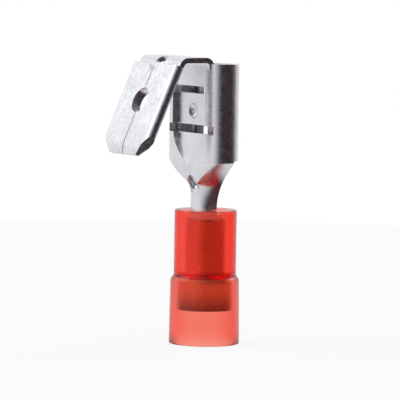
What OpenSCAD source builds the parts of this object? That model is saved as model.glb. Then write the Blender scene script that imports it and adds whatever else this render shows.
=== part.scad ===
// Piggyback spade terminal with a nylon-sleeved wire crimp.
//
// It stands upright: the wire enters at the bottom and runs up +Z, the mouth is at the top.
// The receptacle's plate faces -Y, and the male tab leans away from that plate.
// The left and right halves mirror each other across X = 0.
// Origin: centre of the crimp barrel's lower mouth, where the wire's bare end goes in.
// Heights below count from the nylon sleeve's bottom rim. Sizes are in millimetres.

/* [Sheet] */
// thickness of the folded sheet
sheet = 0.4; // [0.36:0.01:0.44]

/* [Nylon sleeve] */
// height of the whole sleeve
nylon_h = 10.35; // [9.9:0.05:11]
// outer radius of the wide skirt at its bottom rim
skirt_r = 2.72; // [2.6:0.01:3]
// how much narrower the skirt is at its top
skirt_taper = 0.07; // [0:0.01:0.15]
// outer radius of the narrow upper part
nylon_r = 2.4; // [2.15:0.01:2.5]
// height of the step between skirt and upper part
shoulder_z = 5.0; // [4.6:0.05:5.4]
// height of the outer step's slope
shoulder_h = 0.3; // [0.2:0.05:0.5]
// height of the flared wire entry
funnel_h = 0.9; // [0.5:0.05:1.4]
// wall left at the rim of the flared entry
rim_wall = 0.37; // [0.3:0.01:0.45]

/* [Grip sleeve] */
// bore radius round the wire's insulation
grip_bore_r = 1.85; // [1.75:0.01:1.95]
// wall of the thin metal tube
grip_wall = 0.25; // [0.22:0.01:0.28]
// how far its lower end sits above the nylon rim
grip_bottom_z = 2.65; // [2.3:0.05:3]
// height of its narrowing
grip_step_h = 0.4; // [0.3:0.05:0.6]
// how far its upper end sits below the nylon's top
grip_drop = 0.75; // [0.5:0.05:1.2]

/* [Fits] */
// gap between the crimp barrel and the grip sleeve
grip_fit = 0.02; // [0.01:0.01:0.05]
// gap between the grip sleeve and the nylon
nylon_fit = 0.02; // [0.01:0.01:0.05]

/* [Crimp barrel] */
// outer radius of the rolled barrel
barrel_r = 1.25; // [1.15:0.01:1.35]
// how far the barrel's lower end sits above the nylon's step
barrel_lift = 0.2; // [0.1:0.05:0.35]
// how far inside the nylon's top the barrel ends and the open neck begins
barrel_in = 0.35; // [0.2:0.05:0.6]
// how far the receptacle's plate stands in front of the barrel
plate_proud = 0.45; // [0.4:0.01:0.5]
// width of the butted seam at the back
barrel_seam = 0.08; // [0.05:0.01:0.15]

/* [Neck] */
// height of the flared neck
neck_h = 4.2; // [3.9:0.05:4.5]
// height of the neck's straight part above the barrel
neck_straight = 0.4; // [0.2:0.05:0.8]
// how far the plate's flat front runs down the neck
neck_flat_h = 2; // [1.8:0.05:2.2]
// how far the open neck's edges reach behind the barrel's axis
neck_back = 0.2; // [0.1:0.02:0.3]
// width of the wire stop's window
stop_w = 1.3; // [1.1:0.05:1.4]
// height of the wire stop's window above the barrel
stop_z = 1.7; // [1.6:0.05:1.8]
// height of the window
stop_h = 1.35; // [1.3:0.05:1.45]

/* [Receptacle] */
// height of the receptacle
rec_h = 7.5; // [7.3:0.05:8]
// half width of its flat plate
plate_half = 2.3; // [2.2:0.02:2.4]
// outer radius of each curl's first bend
curl_r = 1.4; // [1.35:0.01:1.45]
// outer radius of each curl's second bend
curl_tip_r = 0.88; // [0.84:0.01:0.92]
// angle where the second bend takes over
curl_turn = 57; // [52:1:62]
// angle where the second bend ends and the curl runs straight to its tip
curl_end = 118; // [114:1:122]
// length of that straight run
curl_run = 1.95; // [1.8:0.05:2.05]
// how much the curl's lower edge rises toward the back
curl_slant = 0.15; // [0.05:0.05:0.4]

/* [Pressed panel] */
// depth of the pressed panel and shield
press = 0.42; // [0.36:0.01:0.46]
// depth left at the shield's lower end
shield_end = 0.08; // [0.04:0.01:0.14]
// half width of the shield at the lower slot
shield_half = 2.12; // [2:0.02:2.2]
// thickness of the pressed step's side wall
press_wall = 0.16; // [0.1:0.01:0.2]
// half width of the panel and of the upper slot
panel_half = 2.26; // [2.2:0.01:2.3]
// half width of the lower slot
slot_half = 3.1; // [2.9:0.05:3.2]
// height of the lower slot above the receptacle's lower end
slot_z = 2.1; // [2:0.05:2.2]
// height of the panel between the two slots
panel_h = 2.4; // [2.2:0.05:2.6]
// height of the lower slot
slot_h = 0.65; // [0.5:0.05:0.7]
// height of the upper slot
upper_slot_h = 0.6; // [0.5:0.05:0.7]
// radius of the dimple in the panel
dimple_r = 0.6; // [0.5:0.05:0.7]
// depth of the dimple
dimple_depth = 0.35; // [0.3:0.01:0.4]

/* [Bridge] */
// width of the bridge strip
bridge_w = 5.8; // [5.4:0.05:6]
// inner radius of the bend over the plate
bend_r = 0.3; // [0.25:0.01:0.4]
// straight length of the bridge between its two bends
bridge_flat = 1.65; // [1.5:0.05:2]
// inner radius of the bend above the tab
tab_bend_r = 0.4; // [0.35:0.01:0.5]
// radius of the relief hole in that bend
relief_r = 0.6; // [0.5:0.01:0.65]

/* [Male tab] */
// how far the tab leans out from upright
tab_lean = 24.5; // [22:0.5:27]
// width of the tab
tab_w = 6.3; // [6.2:0.05:6.4]
// length of the tab below the bend
tab_l = 7.57; // [7.4:0.01:7.9]
// distance of the hole from the tip
hole_from_tip = 4.3; // [4.1:0.05:4.5]
// diameter of the hole
hole_d = 2; // [1.7:0.01:2.1]
// length of the bevel at the tip
tip_bevel_l = 0.75; // [0.6:0.05:1]
// depth of the bevel on each face
tip_bevel_d = 0.25; // [0.2:0.01:0.28]
// size of the cut corners across the tab
corner_w = 1.3; // [1.1:0.05:1.5]
// size of the cut corners along the tab
corner_l = 1.55; // [1.3:0.05:1.7]
// width of the seam between the folded halves
tab_seam = 0.08; // [0.05:0.01:0.12]
// drop of the folded halves below the bend
fold_drop = 0.2; // [0.15:0.01:0.3]
// depth of the notch at the top of the seam
notch_l = 0.7; // [0.5:0.05:0.8]
// half width of the notch
notch_half_w = 1.1; // [0.9:0.05:1.3]

/* [Hidden] */
$fn = 48;

// overlap that joins pieces of the same sheet
bite = 0.2;
hair = 0.01;

// nylon and grip sleeve levels and radii
grip_low_r = grip_bore_r + grip_wall;
grip_top_bore_r = barrel_r + grip_fit;
// the grip sleeve's wall thickens a little where it is drawn in
draw_in = 0.03;
grip_top_r = grip_top_bore_r + grip_wall + draw_in;
grip_top_z = nylon_h - grip_drop;
grip_step_z = shoulder_z + grip_step_h;
nylon_low_bore_r = grip_low_r + nylon_fit;
nylon_top_bore_r = grip_top_r + nylon_fit;

// levels of the terminal, from the barrel up
barrel_z0 = shoulder_z + barrel_lift;
barrel_z1 = nylon_h - barrel_in;
barrel_bore_r = barrel_r - sheet;
rec_z0 = barrel_z1 + neck_h;
rec_z1 = rec_z0 + rec_h;
slot_z0 = rec_z0 + slot_z;
panel_z0 = slot_z0 + slot_h;
panel_z1 = panel_z0 + panel_h;
upper_slot_z1 = panel_z1 + upper_slot_h;
dimple_z = panel_z0 + panel_h * 0.44;

// the plate's front face
plate_y = -(barrel_r + plate_proud);
curl_y = plate_y + curl_r;
curl_step = curl_r - curl_tip_r;
tip_x = plate_half + curl_step * cos(curl_turn);
tip_y = curl_y + curl_step * sin(curl_turn);

// bridge bends
bend_z = rec_z1 - bite;
bend_y = plate_y - bend_r;
tab_bend_y = bend_y - bridge_flat;
tab_bend_z = bend_z + bend_r - tab_bend_r;
tab_thick = 2 * sheet;

// ---------- flat helpers ----------

// one turn of a bent sheet: a ring cut down to the angles a0 to a1
module arc2d(r_out, r_in, a0, a1) {
    far = r_out * 3;
    mid = (a0 + a1) / 2;
    intersection() {
        difference() {
            circle(r = r_out);
            circle(r = r_in);
        }
        polygon([
            [0, 0],
            [far * cos(a0), far * sin(a0)],
            [far * cos((a0 + mid) / 2), far * sin((a0 + mid) / 2)],
            [far * cos(mid), far * sin(mid)],
            [far * cos((a1 + mid) / 2), far * sin((a1 + mid) / 2)],
            [far * cos(a1), far * sin(a1)]
        ]);
    }
}

// lays a flat YZ outline out as a strip of the given width, centred on X = 0
module across(width) {
    rotate([90, 0, 90])
        linear_extrude(height = width, center = true)
            children();
}

// lays a flat XZ outline out along Y, from y0 to y1
module along_y(y0, y1) {
    translate([0, y1, 0])
        rotate([90, 0, 0])
            linear_extrude(height = y1 - y0)
                children();
}

// ---------- neck ----------

neck_rows = 16;
flank_steps = 9;
half_points = flank_steps + 2;

function smooth(t) = let (c = min(1, max(0, t))) c * c * (3 - 2 * c);

// how far s (0 at the barrel, 1 at the receptacle) is up the part where the plate's flat front runs
function flat_share(s) = max(0, 1 - (1 - s) * neck_h / neck_flat_h);

// half width of the flat front
function front_half(s) = max(0.12, plate_half * (1 - pow(1 - flat_share(s), 2)));

// how far the front lies behind the plate's face
function front_in(s) = plate_proud * (1 - smooth(flat_share(s)));

// depth of the flank's centre behind the plate's face
function flank_in(s) = barrel_r + plate_proud + (curl_r - barrel_r - plate_proud) * smooth(s);

// where the open back edge lies behind the plate's face
back_in = barrel_r + plate_proud + neck_back;

// half width at the open back edge
back_half_0 = sqrt(barrel_r * barrel_r - neck_back * neck_back);
back_half_1 = plate_half + sqrt(curl_r * curl_r - pow(back_in - curl_r, 2));
flare_h = neck_h - neck_straight;
function flare_share(s) = max(0, 1 - (1 - s) * neck_h / flare_h);
function back_half(s) = back_half_0 + (back_half_1 - back_half_0) * pow(flare_share(s), 2);

// how much longer the wall is in a level section, where the side slopes outward
function side_wall(s) =
    let (slope = (back_half_1 - back_half_0) * 2 * flare_share(s) / flare_h)
    sheet * sqrt(1 + slope * slope);

// a flank point: u runs 0 at the front to 1 at the open back edge,
// and w runs 0 on the outer skin to 1 on the inner one
function flank(s, u, w) =
    let (
        f = front_half(s),
        front = front_in(s) + sheet * w,
        back = back_half(s) - side_wall(s) * w,
        deep = flank_in(s) - front,
        over = (back_in - flank_in(s)) / deep,
        wide = (back - f) / sqrt(1 - over * over),
        a = -90 + u * (90 + asin(over)),
        chord = 2 * s * (1 - s),
        curved = [f + wide * cos(a), flank_in(s) + deep * sin(a)],
        straight = [f + u * (back - f), front + u * (back_in - front)]
    )
    curved + chord * (straight - curved);

// point i of one half of the section, at depth w (0 outer skin, 1 inner skin)
function half_point(s, i, w) =
    i == 0 ? [0, front_in(s) + sheet * w] : flank(s, (i - 1) / flank_steps, w);

// one full skin of a section, from the left back edge round to the right one
function skin(s, w, z) = [
    for (k = [-(half_points - 1) : half_points - 1])
        let (p = half_point(s, abs(k), w))
        [sign(k) * p[0], plate_y + p[1], z]
];

function reversed(v) = [for (i = [len(v) - 1 : -1 : 0]) v[i]];

// a closed section: outer skin one way, inner skin back
function ring(s, inset, z) = concat(skin(s, inset, z), reversed(skin(s, 1 - inset, z)));

// the neck draws in a little short of its two neighbours, then runs on inside their walls
neck_short = 0.05;
neck_points = concat(
    ring(0, 0.2, barrel_z1 - bite),
    [for (r = [0 : neck_rows]) each ring(
        r / neck_rows,
        r == 0 || r == neck_rows ? 0.05 : 0,
        barrel_z1 + neck_short + (neck_h - 2 * neck_short) * r / neck_rows
    )],
    ring(1, 0.2, rec_z0 + bite)
);
ring_n = 2 * (2 * half_points - 1);
ring_count = neck_rows + 3;

function band(r, i) =
    let (
        j = (i + 1) % ring_n,
        a = r * ring_n + i,
        b = r * ring_n + j,
        c = (r + 1) * ring_n + j,
        d = (r + 1) * ring_n + i
    )
    [[a, d, c], [a, c, b]];

// one end of the neck, closed by strips between the outer and the inner skin
function cap(r, i) =
    let (
        a = r * ring_n + i,
        b = a + 1,
        c = (r + 1) * ring_n - 2 - i,
        d = (r + 1) * ring_n - 1 - i
    )
    r == 0 ? [[a, b, c], [a, c, d]] : [[a, c, b], [a, d, c]];

neck_faces = concat(
    [for (i = [0 : ring_n / 2 - 2]) each cap(0, i)],
    [for (r = [0 : ring_count - 2]) for (i = [0 : ring_n - 1]) each band(r, i)],
    [for (i = [0 : ring_n / 2 - 2]) each cap(ring_count - 1, i)]
);

// wire stop: a tongue cut from the neck's front and bent in
module stop_window() {
    low = barrel_z1 + stop_z + stop_w / 2;
    high = barrel_z1 + stop_z + stop_h - stop_w / 2;
    along_y(plate_y - 1, plate_y + plate_proud + 2 * sheet)
        union() {
            translate([0, low])
                circle(d = stop_w);
            translate([0, high])
                circle(d = stop_w);
            translate([-stop_w / 2, low])
                square([stop_w, high - low]);
        }
}

// the tongue is narrower than its window and starts inside the sheet above it
tongue_gap = 0.1;
tongue_root = 0.1;
tongue_l = 1.1;
tongue_turn = 30;
// where the window's upper end lies up the neck
stop_share = (stop_z + stop_h) / neck_h;

module stop_tongue() {
    tongue_w = stop_w - 2 * tongue_gap;
    translate([
        0,
        plate_y + front_in(stop_share) + tongue_root,
        barrel_z1 + stop_z + stop_h + tongue_root
    ])
        rotate([tongue_turn, 0, 0])
            translate([-tongue_w / 2, 0, -tongue_l])
                cube([tongue_w, sheet, tongue_l]);
}

module neck() {
    difference() {
        polyhedron(points = neck_points, faces = neck_faces, convexity = 8);
        stop_window();
    }
    stop_tongue();
}

// ---------- barrel ----------

module barrel() {
    difference() {
        translate([0, 0, barrel_z0])
            cylinder(h = barrel_z1 - barrel_z0, r = barrel_r);
        translate([0, 0, barrel_z0 - 1])
            cylinder(h = barrel_z1 - barrel_z0 + 2, r = barrel_bore_r);
        translate([-barrel_seam / 2, 0, barrel_z0 - 1])
            cube([barrel_seam, barrel_r + 1, barrel_z1 - barrel_z0 + 2]);
    }
}

// ---------- receptacle ----------

// straight steps that draw each of a curl's two bends
first_steps = 24;
second_steps = 18;

// one side of the bent sheet, from the plate's edge round to the curl's tip,
// which slopes back toward the plate near the middle to press on the blade;
// inset is 0 on the outer face and one sheet on the inner face
function curl_points(inset) = concat(
    [for (k = [0 : first_steps])
        let (a = -90 + (curl_turn + 90) * k / first_steps)
        [plate_half + (curl_r - inset) * cos(a), curl_y + (curl_r - inset) * sin(a)]],
    [for (k = [1 : second_steps])
        let (a = curl_turn + (curl_end - curl_turn) * k / second_steps)
        [tip_x + (curl_tip_r - inset) * cos(a), tip_y + (curl_tip_r - inset) * sin(a)]],
    [[
        tip_x + (curl_tip_r - inset) * cos(curl_end) - curl_run * sin(curl_end),
        tip_y + (curl_tip_r - inset) * sin(curl_end) + curl_run * cos(curl_end)
    ]]
);

function flipped(v) = [for (p = v) [-p[0], p[1]]];

// the whole section: plate and both curls are one strip of sheet
module receptacle_outline() {
    polygon(concat(
        reversed(flipped(curl_points(0))),
        curl_points(0),
        reversed(curl_points(sheet)),
        flipped(curl_points(sheet))
    ));
}

module receptacle_blank() {
    difference() {
        translate([0, 0, rec_z0])
            linear_extrude(height = rec_h)
                receptacle_outline();
        // the curls' lower edges rise toward the back
        translate([0, 0, rec_z0])
            across(3 * tab_w)
                polygon([
                    [plate_y + back_in - 0.1, -1],
                    [plate_y + back_in - 0.1, 0.05],
                    [plate_y + 2 * curl_r, curl_slant],
                    [plate_y + 2 * curl_r, -1]
                ]);
        // the bridge grows from the plate between the curls' ends
        translate([-bridge_w / 2, plate_y - 1, bend_z])
            cube([bridge_w, 1 + sheet + 0.1, 1]);
    }
}

// outline of the shield below the lower slot: a deep rounded V, seen from the front
shield_low = rec_z0 - 0.2;
module shield_outline(grow) {
    top = slot_z0 + 0.3;
    reach = slot_z0 - shield_low;
    half = [
        for (k = [0 : 8])
            let (t = k / 8)
            [0.1 + (shield_half - 0.1) * pow(sin(90 * t), 0.8) + grow, shield_low + reach * t]
    ];
    polygon(concat(
        half,
        [[half[8][0], top], [-half[8][0], top]],
        [for (k = [8 : -1 : 0]) [-half[k][0], half[k][1]]]
    ));
}

// the shield's floor slopes out toward the plate's face at its lower end
module shield_ramp(lift) {
    across(3 * tab_w)
        polygon([
            [plate_y - 1, shield_low - 1],
            [plate_y + shield_end + lift, shield_low - 1],
            [plate_y + shield_end + lift, shield_low],
            [plate_y + press + lift, slot_z0],
            [plate_y + press + lift, slot_z0 + 1],
            [plate_y - 1, slot_z0 + 1]
        ]);
}

module shield_cut() {
    intersection() {
        along_y(plate_y - 1, plate_y + press)
            shield_outline(0);
        shield_ramp(0);
    }
}

// the same sheet, pushed back behind the cut
module shield_back() {
    intersection() {
        along_y(plate_y + sheet / 2, plate_y + press + sheet)
            shield_outline(press_wall);
        shield_ramp(sheet);
    }
}

module slots() {
    translate([-slot_half, plate_y - 1, slot_z0])
        cube([2 * slot_half, 2, slot_h]);
    translate([-panel_half, plate_y - 1, panel_z1])
        cube([2 * panel_half, 2.1, upper_slot_h]);
}

// sheet left round the dimple
dimple_wall = 0.3;

module dimple(grow) {
    cap_r = (dimple_r * dimple_r + dimple_depth * dimple_depth) / (2 * dimple_depth);
    translate([0, plate_y + press + dimple_depth - cap_r, dimple_z])
        sphere(r = cap_r + grow);
}

module plate() {
    difference() {
        union() {
            receptacle_blank();
            // backs of the pressed shield and panel
            shield_back();
            translate([-panel_half - press_wall, plate_y + sheet / 2, slot_z0 + 0.1])
                cube([
                    2 * (panel_half + press_wall),
                    press + sheet / 2,
                    upper_slot_z1 - slot_z0 - 0.2
                ]);
            intersection() {
                dimple(dimple_wall);
                translate([-2, plate_y + press + sheet / 2, dimple_z - 2])
                    cube([4, 2, 4]);
            }
        }
        // fronts of the pressed shield and panel
        translate([-panel_half, plate_y - 1, slot_z0 + 0.1])
            cube([2 * panel_half, 1 + press, upper_slot_z1 - slot_z0 - 0.1]);
        dimple(0);
        slots();
    }
}

module plate_and_neck() {
    difference() {
        union() {
            plate();
            neck();
        }
        shield_cut();
    }
}

// ---------- bridge and male tab ----------

module bridge() {
    difference() {
        across(bridge_w) {
            translate([plate_y, bend_z - bite])
                square([sheet, bite]);
            translate([bend_y, bend_z])
                arc2d(bend_r + sheet, bend_r, 0, 90);
            translate([tab_bend_y, bend_z + bend_r])
                square([bridge_flat, sheet]);
            translate([tab_bend_y, tab_bend_z])
                arc2d(tab_bend_r + sheet, tab_bend_r, 90, 180 - tab_lean);
        }
        translate([0, tab_bend_y, tab_bend_z])
            rotate([0.7 * (90 - tab_lean), 0, 0])
                cylinder(h = 3, r = relief_r);
    }
}

// the tab's own frame: Z runs up along the tab, -Y is its outer face's direction
module tab_frame() {
    translate([0, tab_bend_y, tab_bend_z])
        rotate([-tab_lean, 0, 0])
            translate([0, -tab_bend_r, 0])
                children();
}

module tab_section(length) {
    flat = tab_w / 2 - sheet;
    translate([0, 0, -length])
        linear_extrude(height = length) {
            translate([-flat, -tab_thick])
                square([2 * flat, tab_thick]);
            for (side = [-1, 1])
                translate([side * flat, -sheet])
                    circle(r = sheet);
        }
}

// a wedge off one face at the tip; the outer face is at y = -tab_thick, the inner one at 0
module tip_wedges() {
    across(tab_w + 2) {
        polygon([
            [0, -tab_l + tip_bevel_l],
            [-tip_bevel_d, -tab_l],
            [-tip_bevel_d, -tab_l - 1],
            [1, -tab_l - 1],
            [1, -tab_l + tip_bevel_l]
        ]);
        polygon([
            [-tab_thick, -tab_l + tip_bevel_l],
            [-tab_thick + tip_bevel_d, -tab_l],
            [-tab_thick + tip_bevel_d, -tab_l - 1],
            [-tab_thick - 1, -tab_l - 1],
            [-tab_thick - 1, -tab_l + tip_bevel_l]
        ]);
    }
}

module corner_cut(side) {
    reach = 2;
    slope = corner_l / corner_w;
    along_y(-2, 1)
        polygon([
            [side * (tab_w / 2 + reach), -tab_l + corner_l + reach * slope],
            [side * (tab_w / 2 - corner_w - 1 / slope), -tab_l - 1],
            [side * (tab_w / 2 + reach), -tab_l - 1]
        ]);
}

module tab() {
    tab_frame()
        difference() {
            union() {
                tab_section_wings();
                // the strip behind the folded halves, set a hair inside the bend it grows from
                translate([-bridge_w / 2 + hair, -sheet + hair, -2])
                    cube([bridge_w - 2 * hair, sheet - 2 * hair, 2.05]);
            }
            tip_wedges();
            corner_cut(-1);
            corner_cut(1);
            translate([0, 1, -tab_l + hole_from_tip])
                rotate([90, 0, 0])
                    cylinder(h = 3, d = hole_d);
            translate([-tab_seam / 2, -tab_thick - 1, -tab_l - 1])
                cube([tab_seam, 1 + sheet, tab_l + 1]);
            along_y(-tab_thick - 1, -sheet)
                polygon([
                    [0, -fold_drop - notch_l],
                    [notch_half_w, -fold_drop],
                    [notch_half_w, 1],
                    [-notch_half_w, 1],
                    [-notch_half_w, -fold_drop]
                ]);
        }
}

module tab_section_wings() {
    translate([0, 0, -fold_drop])
        tab_section(tab_l - fold_drop);
}

// ---------- nodes ----------

// puts the origin at the crimp barrel's lower mouth
module from_barrel() {
    translate([0, 0, -barrel_z0])
        children();
}

module terminal() {
    color([0.8, 0.81, 0.84])
        from_barrel() {
            barrel();
            plate_and_neck();
            bridge();
            tab();
        }
}

module grip_sleeve() {
    color([0.85, 0.7, 0.42])
        from_barrel()
            rotate_extrude()
                polygon([
                    [grip_bore_r, grip_bottom_z],
                    [grip_low_r, grip_bottom_z],
                    [grip_low_r, shoulder_z],
                    [grip_top_r, grip_step_z],
                    [grip_top_r, grip_top_z],
                    [grip_top_bore_r, grip_top_z],
                    [grip_top_bore_r, grip_step_z],
                    [grip_bore_r, shoulder_z]
                ]);
}

module nylon_sleeve() {
    color([0.85, 0.15, 0.1])
        from_barrel()
            rotate_extrude()
                polygon([
                    [skirt_r - rim_wall, 0],
                    [skirt_r, 0],
                    [skirt_r - skirt_taper, shoulder_z],
                    [nylon_r, shoulder_z + shoulder_h],
                    [nylon_r, nylon_h],
                    [nylon_top_bore_r, nylon_h],
                    [nylon_top_bore_r, grip_step_z],
                    [nylon_low_bore_r, shoulder_z],
                    [nylon_low_bore_r, funnel_h]
                ]);
}

terminal();
grip_sleeve();
nylon_sleeve();
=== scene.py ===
"""Piggyback spade terminal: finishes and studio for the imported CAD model.

The metal terminal keeps its CAD shape, with its triangles joined so that the bends shade smoothly.
The nylon sleeve and the metal grip sleeve inside it are turned again with soft edges, because a
moulded rim and a drawn tube have no sharp ones.
Lengths are in metres, in the CAD's frame: +Z up along the crimp barrel, -Y toward the male tab.
"""

import math

import bmesh
import bpy
from bpy.props import FloatProperty, FloatVectorProperty, PointerProperty
from mathutils import Matrix, Vector


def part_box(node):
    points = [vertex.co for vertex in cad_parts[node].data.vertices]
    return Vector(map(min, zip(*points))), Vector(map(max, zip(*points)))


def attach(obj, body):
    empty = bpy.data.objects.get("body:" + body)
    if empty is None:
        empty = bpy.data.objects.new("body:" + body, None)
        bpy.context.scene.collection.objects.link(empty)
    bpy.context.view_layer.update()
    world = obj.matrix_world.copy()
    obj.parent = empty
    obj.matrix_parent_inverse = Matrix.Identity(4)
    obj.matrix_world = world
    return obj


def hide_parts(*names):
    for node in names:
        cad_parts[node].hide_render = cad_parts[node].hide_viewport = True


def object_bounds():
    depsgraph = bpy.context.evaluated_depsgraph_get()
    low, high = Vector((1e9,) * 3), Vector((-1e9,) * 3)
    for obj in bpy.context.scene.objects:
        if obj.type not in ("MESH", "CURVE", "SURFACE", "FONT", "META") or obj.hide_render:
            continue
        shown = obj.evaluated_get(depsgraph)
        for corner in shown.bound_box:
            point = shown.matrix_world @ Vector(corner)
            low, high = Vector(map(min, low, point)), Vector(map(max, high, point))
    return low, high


bl_info = {
    "name": "Piggyback spade terminal",
    "version": (1, 0, 0),
    "blender": (4, 2, 0),
    "location": "3D View > Sidebar > Terminal",
    "description": "Tinned sheet metal, translucent red nylon and a plain studio",
    "category": "Object",
}

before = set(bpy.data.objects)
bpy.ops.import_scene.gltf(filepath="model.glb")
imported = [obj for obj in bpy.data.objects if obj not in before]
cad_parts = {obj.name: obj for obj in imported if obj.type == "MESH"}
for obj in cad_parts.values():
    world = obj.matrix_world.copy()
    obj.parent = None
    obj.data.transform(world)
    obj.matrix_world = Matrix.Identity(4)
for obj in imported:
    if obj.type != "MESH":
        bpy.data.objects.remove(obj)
CAD_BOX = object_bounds()
MM = 0.001
# edges sharper than this stay crisp
CREASE = math.radians(32)
# the dark flag's azimuth (0 in front, 90 to +X), and where it turns bright on either side of it
DARK_AZIMUTH = 100
DARK_SIDES = ((-40, -88), (42, 95))
# corners of the CAD triangles closer than this are one point
WELD = 0.0002 * MM
# how exactly a ring's height and radius must match those of its corner
ON_HEIGHT = 0.0001 * MM
ON_RADIUS = 0.001 * MM
# the point that the camera and the lamps face, and how far away the lamps hang
AIM = Vector((0.0, -0.54 * MM, 5.9 * MM))
LAMP_REACH = 260 * MM
# the floor's disc, and how far it lies below the nylon's rim
FLOOR_RADIUS = 110 * MM
FLOOR_GAP = 0.01 * MM
# how far the floor is plain white to the camera; the rest is lit paper, which keeps the shadow
FLOOR_WHITE = 0.85
# name, azimuth and height in degrees, width in millimetres and power in watts of each softbox
LAMPS = (
    ("key", -35, 38, 150, 0.14),
    ("fill", 60, 50, 120, 0.05),
    ("back", 190, 35, 150, 0.12),
)


# ---------- small helpers ----------


def srgb(hex_code):
    """A colour written as six hex digits, as the linear RGBA that a shader takes."""
    out = []
    for i in (0, 2, 4):
        c = int(hex_code[i:i + 2], 16) / 255
        out.append(c / 12.92 if c <= 0.04045 else ((c + 0.055) / 1.055) ** 2.4)
    return (*out, 1.0)


def outward(azimuth, height):
    """The direction turned from the front toward +X, and then raised, by angles in radians."""
    level = math.cos(height)
    return Vector((math.sin(azimuth) * level, -math.cos(azimuth) * level, math.sin(height)))


def node(tree, kind, inputs=None, **settings):
    """Adds a node. An input may be a constant or another node's output socket."""
    n = tree.nodes.new(kind)
    for key, value in settings.items():
        setattr(n, key, value)
    for key, value in (inputs or {}).items():
        if isinstance(value, bpy.types.NodeSocket):
            tree.links.new(value, n.inputs[key])
        else:
            n.inputs[key].default_value = value
    return n


def fresh_material(name):
    """A new material and its node tree, emptied for its own nodes."""
    mat = bpy.data.materials.new(name)
    mat.use_nodes = True
    mat.node_tree.nodes.clear()
    return mat, mat.node_tree


def finish_material(tree, shader, volume=None):
    """Leads the surface, and the volume where there is one, to the material's output."""
    ends = {"Surface": shader.outputs[0]}
    if volume:
        ends["Volume"] = volume.outputs[0]
    node(tree, "ShaderNodeOutputMaterial", ends)


def dress(obj, mat):
    """Gives a piece its one material."""
    obj.data.materials.clear()
    obj.data.materials.append(mat)


def mesh_object(name, bm):
    """Makes a smooth-shaded object of a bmesh, with its crisp edges marked."""
    mesh = bpy.data.meshes.new(name)
    for f in bm.faces:
        f.smooth = True
    for e in bm.edges:
        e.smooth = e.calc_face_angle(0.0) < CREASE
    bm.to_mesh(mesh)
    bm.free()
    obj = bpy.data.objects.new(name, mesh)
    bpy.context.scene.collection.objects.link(obj)
    return obj


def lathe(name, profile, segments=128):
    """Turns a closed outline about +Z, then rounds its rings.

    Each corner of the outline is a (radius, height, rounding).
    """
    bm = bmesh.new()
    outline = [bm.verts.new((r, 0.0, z)) for r, z, _ in profile]
    edges = [bm.edges.new(pair) for pair in zip(outline, outline[1:] + outline[:1])]
    bmesh.ops.spin(
        bm, geom=outline + edges, cent=(0, 0, 0), axis=(0, 0, 1), dvec=(0, 0, 0),
        angle=2 * math.pi, steps=segments, use_merge=True, use_duplicate=False,
    )
    bmesh.ops.remove_doubles(bm, verts=bm.verts, dist=ON_HEIGHT)
    bmesh.ops.recalc_face_normals(bm, faces=bm.faces)
    for r, z, rounding in profile:
        if not rounding:
            continue
        ring = [
            e for e in bm.edges
            if all(
                abs(v.co.z - z) < ON_HEIGHT and abs(v.co.xy.length - r) < ON_RADIUS
                for v in e.verts
            )
        ]
        bmesh.ops.bevel(
            bm, geom=ring, offset=rounding, offset_type="OFFSET", segments=5, profile=0.5,
            affect="EDGES", clamp_overlap=True, material=-1,
        )
    return mesh_object(name, bm)


def welded_copy(name, source):
    """A CAD node's own shape with its loose triangles joined, so that its bends shade smoothly."""
    bm = bmesh.new()
    bm.from_mesh(source.data)
    bmesh.ops.remove_doubles(bm, verts=bm.verts, dist=WELD)
    bmesh.ops.dissolve_degenerate(bm, edges=bm.edges, dist=WELD)
    obj = mesh_object(name, bm)
    even = obj.modifiers.new("even_normals", "WEIGHTED_NORMAL")
    even.keep_sharp = True
    return obj


def place(piece, node_name, mat):
    """Dresses a finished piece and lets it stand for its CAD node."""
    dress(piece, mat)
    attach(piece, "root")
    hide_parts(node_name)


# ---------- sizes and colours a user may change ----------


class METAL_PG_settings(bpy.types.PropertyGroup):
    tin: FloatVectorProperty(
        name="Tin plating", description="Colour of the plated sheet", subtype="COLOR",
        size=4, min=0, max=1, default=srgb("E6E7EC"),
    )
    roughness: FloatProperty(
        name="Roughness", description="How soft the plating's reflections are",
        default=0.3, min=0, max=1,
    )
    scuff_size: FloatProperty(
        name="Scuff size", description="Size of the press marks and scuffs",
        default=0.35 * MM, min=0, unit="LENGTH",
    )


class GRIP_PG_settings(bpy.types.PropertyGroup):
    brass: FloatVectorProperty(
        name="Brass", description="Colour of the drawn tube", subtype="COLOR",
        size=4, min=0, max=1, default=srgb("E89870"),
    )
    roughness: FloatProperty(
        name="Roughness", description="How soft the tube's reflections are",
        default=0.32, min=0, max=1,
    )
    # painted shade: the height over which the tube's colour darkens toward its lower mouth
    painted_mouth_shade: FloatProperty(
        name="Painted shade", description="Height over which its dark lower mouth brightens",
        default=1.6 * MM, min=0, unit="LENGTH",
    )
    wall: FloatProperty(
        name="Wall", description="Wall of the drawn tube", default=0.25 * MM, min=0,
        unit="LENGTH",
    )
    narrow_radius: FloatProperty(
        name="Narrow radius", description="Outer radius of the drawn-in part",
        default=1.55 * MM, min=0, unit="LENGTH",
    )
    step_low: FloatProperty(
        name="Step", description="Height above its lower end where the tube draws in",
        default=2.35 * MM, min=0, unit="LENGTH",
    )
    step_height: FloatProperty(
        name="Step height", description="Height of the drawn-in step", default=0.4 * MM, min=0,
        unit="LENGTH",
    )


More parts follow.
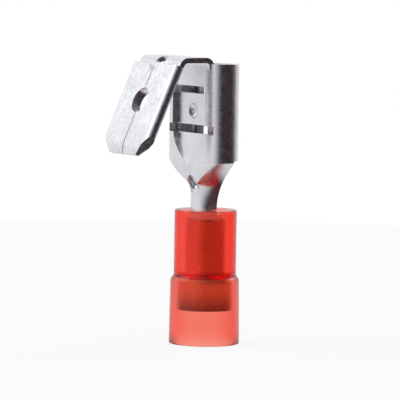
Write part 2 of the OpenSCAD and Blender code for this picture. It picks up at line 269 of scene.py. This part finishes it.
class NYLON_PG_settings(bpy.types.PropertyGroup):
    red: FloatVectorProperty(
        name="Nylon", description="Colour of the translucent nylon", subtype="COLOR",
        size=4, min=0, max=1, default=srgb("FFF2EE"),
    )
    deep_red: FloatVectorProperty(
        name="Depth colour", description="Colour that a thick wall of it tends to",
        subtype="COLOR", size=4, min=0, max=1, default=srgb("FF8E65"),
    )
    density: FloatProperty(
        name="Density", description="How fast its colour deepens, for each metre",
        default=1600.0, min=0,
    )
    upper_radius: FloatProperty(
        name="Upper radius", description="Outer radius of the narrow part",
        default=2.4 * MM, min=0, unit="LENGTH",
    )
    shoulder: FloatProperty(
        name="Shoulder", description="Height of the outer step above the lower rim",
        default=5.0 * MM, min=0, unit="LENGTH",
    )
    shoulder_height: FloatProperty(
        name="Shoulder height", description="Height of the step's slope",
        default=0.3 * MM, min=0, unit="LENGTH",
    )
    taper: FloatProperty(
        name="Taper", description="How much narrower the skirt is at its top",
        default=0.07 * MM, min=0, unit="LENGTH",
    )
    rim_wall: FloatProperty(
        name="Rim wall", description="Wall left at the flared wire entry",
        default=0.37 * MM, min=0, unit="LENGTH",
    )
    funnel: FloatProperty(
        name="Wire entry", description="Height of the flared wire entry",
        default=0.9 * MM, min=0, unit="LENGTH",
    )
    fit: FloatProperty(
        name="Fit", description="Gap between the nylon and the metal tube inside it",
        default=0.02 * MM, min=0, unit="LENGTH",
    )
    rim_round: FloatProperty(
        name="Rim rounding", description="Radius on the sleeve's moulded rims",
        default=0.1 * MM, min=0, unit="LENGTH",
    )


class STUDIO_PG_settings(bpy.types.PropertyGroup):
    azimuth: FloatProperty(
        name="Camera turn", description="Turn round the object from its front", subtype="ANGLE",
        default=math.radians(57.0),
    )
    elevation: FloatProperty(
        name="Camera height", description="Angle above the horizon", subtype="ANGLE",
        default=math.radians(4.6),
    )
    roll: FloatProperty(
        name="Camera roll", description="Tilt of the picture", subtype="ANGLE",
        default=math.radians(0.85),
    )
    distance: FloatProperty(
        name="Camera distance", description="Distance from the object's middle",
        default=300 * MM, min=0, unit="LENGTH",
    )
    lens: FloatProperty(
        name="Focal length", description="Focal length in millimetres", default=350.6, min=1,
    )


# ---------- materials ----------


def tinned_metal(name, colour, roughness, scuff_size, painted_mouth_shade=None):
    """Plated sheet: satin bright, with faint press marks and handling scuffs.

    The last argument gives the two heights between which the metal brightens out of painted shade
    at its lower mouth.
    """
    mat, tree = fresh_material(name)
    coords = node(tree, "ShaderNodeTexCoord").outputs["Object"]
    scuffs = node(tree, "ShaderNodeTexNoise", {
        "Vector": coords, "Scale": 1 / scuff_size, "Detail": 6.0, "Roughness": 0.7,
    })
    # the plating is a little uneven over each 1.6 mm
    cloud = node(tree, "ShaderNodeTexNoise", {
        "Vector": coords, "Scale": 1 / (1.6 * MM), "Detail": 3.0,
    })
    rough = node(tree, "ShaderNodeMapRange", {
        "Value": scuffs.outputs["Fac"], "From Min": 0.35, "From Max": 0.65,
        "To Min": roughness * 0.75, "To Max": roughness * 1.3,
    })
    worn = node(tree, "ShaderNodeMath", {
        0: scuffs.outputs["Fac"], 1: cloud.outputs["Fac"],
    }, operation="ADD")
    tone = node(tree, "ShaderNodeMapRange", {
        "Value": worn.outputs[0], "From Min": 0.8, "From Max": 1.2,
        "To Min": 0.88, "To Max": 1.0,
    })
    # painted shade: the colour darkens toward the lower end, standing in for the shade inside the
    # tube's mouth
    if painted_mouth_shade:
        height = node(tree, "ShaderNodeSeparateXYZ", {"Vector": coords})
        shade = node(tree, "ShaderNodeMapRange", {
            "Value": height.outputs["Z"], "From Min": painted_mouth_shade[0], "From Max": painted_mouth_shade[1],
            "To Min": 0.25, "To Max": 1.0,
        })
        tone = node(tree, "ShaderNodeMath", {
            0: tone.outputs[0], 1: shade.outputs[0],
        }, operation="MULTIPLY")
    tint = node(
        tree, "ShaderNodeMix", {6: colour, 7: tone.outputs[0], "Factor": 1.0},
        data_type="RGBA", blend_type="MULTIPLY",
    )
    # cut edges are very slightly rounded by the press
    edge = node(tree, "ShaderNodeBevel", {"Radius": 0.04 * MM}, samples=6)
    shader = node(tree, "ShaderNodeBsdfPrincipled", {
        "Base Color": tint.outputs[2], "Metallic": 1.0, "Roughness": rough.outputs[0],
        "Normal": edge.outputs[0],
    })
    finish_material(tree, shader)
    return mat


def red_nylon(colour, depth_colour, density):
    """Moulded translucent nylon: soft gloss, and a red that deepens with the wall behind it."""
    mat, tree = fresh_material("translucent_red_nylon")
    # nylon's own index is about 1.53; the lower one is matched to the look of its thin walls
    shader = node(tree, "ShaderNodeBsdfPrincipled", {
        "Base Color": colour, "Roughness": 0.22, "IOR": 1.36, "Transmission Weight": 1.0,
    })
    depth = node(tree, "ShaderNodeVolumeAbsorption", {
        "Color": depth_colour, "Density": density,
    })
    finish_material(tree, shader, depth)
    return mat


# ---------- operators ----------


class TERMINAL_OT_metal(bpy.types.Operator):
    """Finish the folded metal terminal"""
    bl_idname = "terminal.metal"
    bl_label = "Metal terminal"

    def execute(self, context):
        s = context.scene.terminal_metal
        body = welded_copy("folded_terminal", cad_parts["terminal"])
        mat = tinned_metal("tin_plated_brass", tuple(s.tin), s.roughness, s.scuff_size)
        place(body, "terminal", mat)
        return {"FINISHED"}


class TERMINAL_OT_grip(bpy.types.Operator):
    """Turn the drawn metal tube inside the nylon"""
    bl_idname = "terminal.grip"
    bl_label = "Grip sleeve"

    def execute(self, context):
        s = context.scene.terminal_grip
        low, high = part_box("grip_sleeve")
        wide, z0, z1 = high.x, low.z, high.z
        step0 = z0 + s.step_low
        step1 = step0 + s.step_height
        lip_round = s.wall * 0.3
        tube = lathe("drawn_grip_tube", [
            (wide - s.wall, z0, lip_round),
            (wide, z0, lip_round),
            (wide, step0, s.wall),
            (s.narrow_radius, step1, s.wall),
            (s.narrow_radius, z1, lip_round),
            (s.narrow_radius - s.wall, z1, lip_round),
            (s.narrow_radius - s.wall, step1, 0),
            (wide - s.wall, step0, 0),
        ])
        metal = context.scene.terminal_metal
        # the tube's lower mouth gets painted shade in its colour
        mat = tinned_metal(
            "drawn_brass_tube", tuple(s.brass), s.roughness, metal.scuff_size,
            painted_mouth_shade=(z0, z0 + s.painted_mouth_shade),
        )
        place(tube, "grip_sleeve", mat)
        return {"FINISHED"}


class TERMINAL_OT_nylon(bpy.types.Operator):
    """Turn the moulded nylon sleeve"""
    bl_idname = "terminal.nylon"
    bl_label = "Nylon sleeve"

    def execute(self, context):
        s = context.scene.terminal_nylon
        grip = context.scene.terminal_grip
        low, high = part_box("nylon_sleeve")
        skirt, z0, z1 = high.x, low.z, high.z
        step0 = z0 + s.shoulder
        step1 = step0 + s.shoulder_height
        grip_low, grip_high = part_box("grip_sleeve")
        wide_bore = grip_high.x + s.fit
        narrow_bore = grip.narrow_radius + s.fit
        bore_step0 = grip_low.z + grip.step_low
        bore_step1 = bore_step0 + grip.step_height
        sleeve = lathe("moulded_nylon_sleeve", [
            (skirt - s.rim_wall, z0, s.rim_round),
            (skirt, z0, s.rim_round),
            (skirt - s.taper, step0, s.rim_round * 1.5),
            (s.upper_radius, step1, s.rim_round * 1.5),
            (s.upper_radius, z1, s.rim_round),
            (narrow_bore, z1, s.rim_round),
            (narrow_bore, bore_step1, 0),
            (wide_bore, bore_step0, 0),
            (wide_bore, z0 + s.funnel, s.rim_round),
        ])
        mat = red_nylon(tuple(s.red), tuple(s.deep_red), s.density)
        place(sleeve, "nylon_sleeve", mat)
        return {"FINISHED"}


def studio_world(world):
    """White to the camera; polished metal sees bright walls with one dark flag beside them."""
    world.use_nodes = True
    tree = world.node_tree
    tree.nodes.clear()
    path = node(tree, "ShaderNodeLightPath")
    direction = node(tree, "ShaderNodeTexCoord").outputs["Generated"]
    # how far a direction is turned from the flag's middle
    across = []
    for azimuth in (DARK_AZIMUTH + 90, DARK_AZIMUTH):
        across.append(node(tree, "ShaderNodeVectorMath", {
            0: direction, 1: outward(math.radians(azimuth), 0.0),
        }, operation="DOT_PRODUCT").outputs["Value"])
    turn = node(tree, "ShaderNodeMath", {0: across[0], 1: across[1]}, operation="ARCTAN2")
    # each side of the flag goes softly from dark to bright
    sides = []
    for dark, bright in DARK_SIDES:
        sides.append(node(tree, "ShaderNodeMapRange", {
            "Value": turn.outputs[0],
            "From Min": math.radians(dark), "From Max": math.radians(bright),
        }, interpolation_type="SMOOTHSTEP").outputs[0])
    open_wall = node(tree, "ShaderNodeMath", {0: sides[0], 1: sides[1]}, operation="ADD")
    # the walls are a little darker low down
    height = node(tree, "ShaderNodeSeparateXYZ", {"Vector": direction})
    rise = node(tree, "ShaderNodeMapRange", {
        "Value": height.outputs["Z"], "From Min": -0.3, "From Max": 0.5,
        "To Min": 0.86, "To Max": 0.98,
    })
    level = node(tree, "ShaderNodeMath", {
        0: open_wall.outputs[0], 1: rise.outputs[0],
    }, operation="MULTIPLY")
    mirrored = node(
        tree, "ShaderNodeMix",
        {6: srgb("33282B"), 7: srgb("FFFFFF"), "Factor": level.outputs[0]}, data_type="RGBA",
    )
    inside = node(
        tree, "ShaderNodeMix",
        {6: srgb("A0A0A0"), 7: srgb("FFFFFF"), "Factor": open_wall.outputs[0]},
        data_type="RGBA",
    )
    # a ray through rough nylon counts as glossy too, so only true reflections see the flag
    reflected = node(tree, "ShaderNodeMath", {
        0: path.outputs["Is Glossy Ray"], 1: path.outputs["Is Transmission Ray"],
    }, operation="SUBTRACT", use_clamp=True)
    # plain is what lights the terminal, and each of the others is what one kind of ray sees
    plain = node(tree, "ShaderNodeBackground", {"Color": srgb("FFFFFF"), "Strength": 0.55})
    seen = node(tree, "ShaderNodeBackground", {"Color": srgb("FFFFFF"), "Strength": 1.0})
    glossy = node(tree, "ShaderNodeBackground", {"Color": mirrored.outputs[2]})
    through = node(tree, "ShaderNodeBackground", {"Color": inside.outputs[2]})
    shader = plain
    for flag, background in (
        (path.outputs["Is Camera Ray"], seen),
        (reflected.outputs[0], glossy),
        (path.outputs["Is Transmission Ray"], through),
    ):
        shader = node(tree, "ShaderNodeMixShader", {
            0: flag, 1: shader.outputs[0], 2: background.outputs[0],
        })
    out = node(tree, "ShaderNodeOutputWorld")
    tree.links.new(shader.outputs[0], out.inputs["Surface"])


def lamp(name, azimuth, height, size, power):
    """A square softbox that faces the terminal."""
    light = bpy.data.lights.new(name, "AREA")
    light.shape = "SQUARE"
    light.size = size * MM
    light.energy = power
    obj = bpy.data.objects.new(name, light)
    bpy.context.scene.collection.objects.link(obj)
    way = outward(math.radians(azimuth), math.radians(height))
    obj.location = AIM + way * LAMP_REACH
    obj.rotation_euler = way.to_track_quat("Z", "Y").to_euler()
    # the nylon shows the wall behind it, and not the lamp itself
    obj.visible_transmission = False


def paper_floor():
    """A pale disc under the nylon's rim, white to the camera apart from a faint shadow."""
    bm = bmesh.new()
    bmesh.ops.create_circle(bm, cap_ends=True, segments=96, radius=FLOOR_RADIUS)
    bmesh.ops.translate(bm, verts=bm.verts, vec=(0, 0, CAD_BOX[0][2] - FLOOR_GAP))
    floor = mesh_object("floor", bm)
    mat, tree = fresh_material("pale_floor_paper")
    path = node(tree, "ShaderNodeLightPath")
    paper = node(tree, "ShaderNodeBsdfDiffuse", {"Color": srgb("F8F8F8")})
    white = node(tree, "ShaderNodeEmission", {"Color": srgb("FFFFFF"), "Strength": 1.0})
    seen = node(tree, "ShaderNodeMath", {
        0: path.outputs["Is Camera Ray"], 1: path.outputs["Is Transmission Ray"],
    }, operation="MAXIMUM")
    share = node(tree, "ShaderNodeMath", {
        0: seen.outputs[0], 1: FLOOR_WHITE,
    }, operation="MULTIPLY")
    both = node(tree, "ShaderNodeMixShader", {
        0: share.outputs[0], 1: paper.outputs[0], 2: white.outputs[0],
    })
    finish_material(tree, both)
    dress(floor, mat)
    # polished metal sees the studio's walls and not this paper
    floor.visible_glossy = False


def camera(settings):
    """The camera, hung where the studio's settings say and facing the terminal."""
    data = bpy.data.cameras.new("camera")
    data.lens = settings.lens
    data.sensor_width = 36.0
    data.clip_start = 1 * MM
    data.clip_end = 10.0
    obj = bpy.data.objects.new("camera", data)
    bpy.context.scene.collection.objects.link(obj)
    way = outward(settings.azimuth, settings.elevation)
    turn = way.to_track_quat("Z", "Y").to_matrix() @ Matrix.Rotation(settings.roll, 3, "Z")
    obj.matrix_world = Matrix.Translation(AIM + way * settings.distance) @ turn.to_4x4()
    return obj


class TERMINAL_OT_studio(bpy.types.Operator):
    """Set up the floor, the lamps, the background and the camera"""
    bl_idname = "terminal.studio"
    bl_label = "Studio"

    def execute(self, context):
        scene = context.scene
        scene.view_settings.view_transform = "Standard"
        paper_floor()
        if scene.world is None:
            scene.world = bpy.data.worlds.new("studio")
        studio_world(scene.world)
        for softbox in LAMPS:
            lamp(*softbox)
        scene.camera = camera(scene.terminal_studio)
        return {"FINISHED"}


class TERMINAL_PT_panel(bpy.types.Panel):
    """Lists the terminal's pieces and the studio, each with its settings"""
    bl_label = "Spade terminal"
    bl_idname = "TERMINAL_PT_panel"
    bl_space_type = "VIEW_3D"
    bl_region_type = "UI"
    bl_category = "Terminal"

    def draw(self, context):
        layout = self.layout
        scene = context.scene
        for group, operator in (
            (scene.terminal_metal, TERMINAL_OT_metal),
            (scene.terminal_grip, TERMINAL_OT_grip),
            (scene.terminal_nylon, TERMINAL_OT_nylon),
            (scene.terminal_studio, TERMINAL_OT_studio),
        ):
            for setting in group.__annotations__:
                layout.prop(group, setting)
            layout.operator(operator.bl_idname)


CLASSES = (
    METAL_PG_settings, GRIP_PG_settings, NYLON_PG_settings, STUDIO_PG_settings, TERMINAL_OT_metal,
    TERMINAL_OT_grip, TERMINAL_OT_nylon, TERMINAL_OT_studio, TERMINAL_PT_panel,
)


def register():
    for c in CLASSES:
        bpy.utils.register_class(c)
    bpy.types.Scene.terminal_metal = PointerProperty(type=METAL_PG_settings)
    bpy.types.Scene.terminal_grip = PointerProperty(type=GRIP_PG_settings)
    bpy.types.Scene.terminal_nylon = PointerProperty(type=NYLON_PG_settings)
    bpy.types.Scene.terminal_studio = PointerProperty(type=STUDIO_PG_settings)


def unregister():
    del bpy.types.Scene.terminal_studio
    del bpy.types.Scene.terminal_nylon
    del bpy.types.Scene.terminal_grip
    del bpy.types.Scene.terminal_metal
    for c in reversed(CLASSES):
        bpy.utils.unregister_class(c)


def main():
    register()
    bpy.ops.terminal.metal()
    bpy.ops.terminal.grip()
    bpy.ops.terminal.nylon()
    bpy.ops.terminal.studio()


if __name__ == "__main__":
    main()
